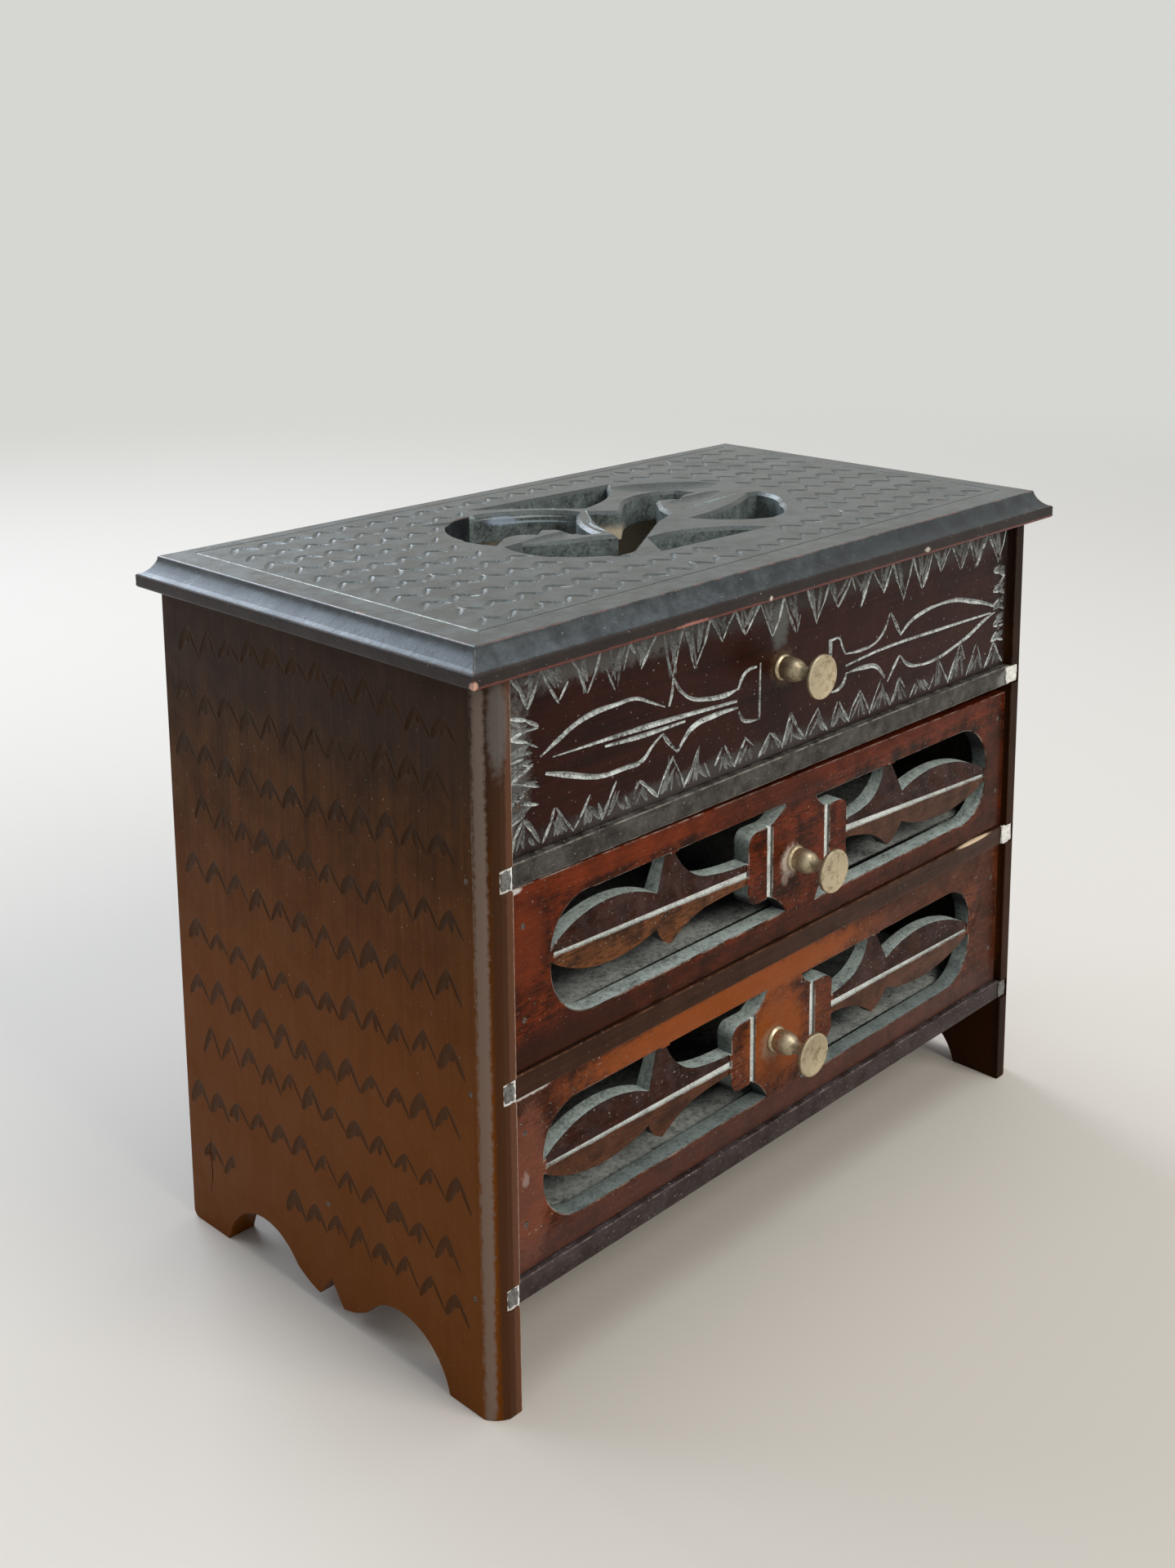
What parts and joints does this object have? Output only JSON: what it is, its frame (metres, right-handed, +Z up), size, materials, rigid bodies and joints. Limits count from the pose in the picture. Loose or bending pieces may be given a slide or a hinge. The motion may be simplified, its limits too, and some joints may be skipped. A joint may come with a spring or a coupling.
{
  "type": "miniature chest of drawers",
  "caption": "Tabletop wooden chest with stacked sliding drawers, coved top pierced with a medallion, leaf-pierced fronts, disc knobs and bracket feet.",
  "frame": {"origin": "middle of the whole footprint, knobs and mouldings included, on the surface the chest stands on", "axes": "+X across the front to the viewer's right, +Y from the front to the back, +Z up"},
  "size_m": [0.2628, 0.1558, 0.2126],
  "materials": {
    "ebonised_wood": "dark stained and waxed, chip carved",
    "dark_mahogany": "dark stained and waxed, incised",
    "mahogany": "waxed, pierced and carved",
    "inside_wood": "plain unfinished softwood",
    "brass": "tarnished turned brass",
    "pin_steel": "dull steel panel pins"
  },
  "bodies": {
    "case": {"left_side": "ebonised_wood", "right_side": "ebonised_wood", "top_board": "ebonised_wood", "upper_shelf": "ebonised_wood", "middle_shelf": "ebonised_wood", "bottom_shelf": "ebonised_wood", "back_panel": "inside_wood", "left_side_pins": "pin_steel", "right_side_pins": "pin_steel", "back_pins": "pin_steel"},
    "top_drawer": {"top_drawer_front": "dark_mahogany", "top_drawer_left_wall": "inside_wood", "top_drawer_right_wall": "inside_wood", "top_drawer_back": "inside_wood", "top_drawer_bottom": "inside_wood", "top_drawer_knob": "brass", "top_drawer_pins": "pin_steel"},
    "middle_drawer": {"middle_drawer_front": "mahogany", "middle_drawer_left_wall": "inside_wood", "middle_drawer_right_wall": "inside_wood", "middle_drawer_back": "inside_wood", "middle_drawer_bottom": "inside_wood", "middle_drawer_knob": "brass", "middle_drawer_pins": "pin_steel"},
    "bottom_drawer": {"bottom_drawer_front": "mahogany", "bottom_drawer_left_wall": "inside_wood", "bottom_drawer_right_wall": "inside_wood", "bottom_drawer_back": "inside_wood", "bottom_drawer_bottom": "inside_wood", "bottom_drawer_knob": "brass", "bottom_drawer_pins": "pin_steel"}
  },
  "joints": [
    {"name": "top_drawer_slide", "type": "slide", "parent": "case", "child": "top_drawer", "axis": [0, -1, 0], "range_m": [0, 0.11]},
    {"name": "middle_drawer_slide", "type": "slide", "parent": "case", "child": "middle_drawer", "axis": [0, -1, 0], "range_m": [0, 0.11]},
    {"name": "bottom_drawer_slide", "type": "slide", "parent": "case", "child": "bottom_drawer", "axis": [0, -1, 0], "range_m": [0, 0.11]}
  ]
}
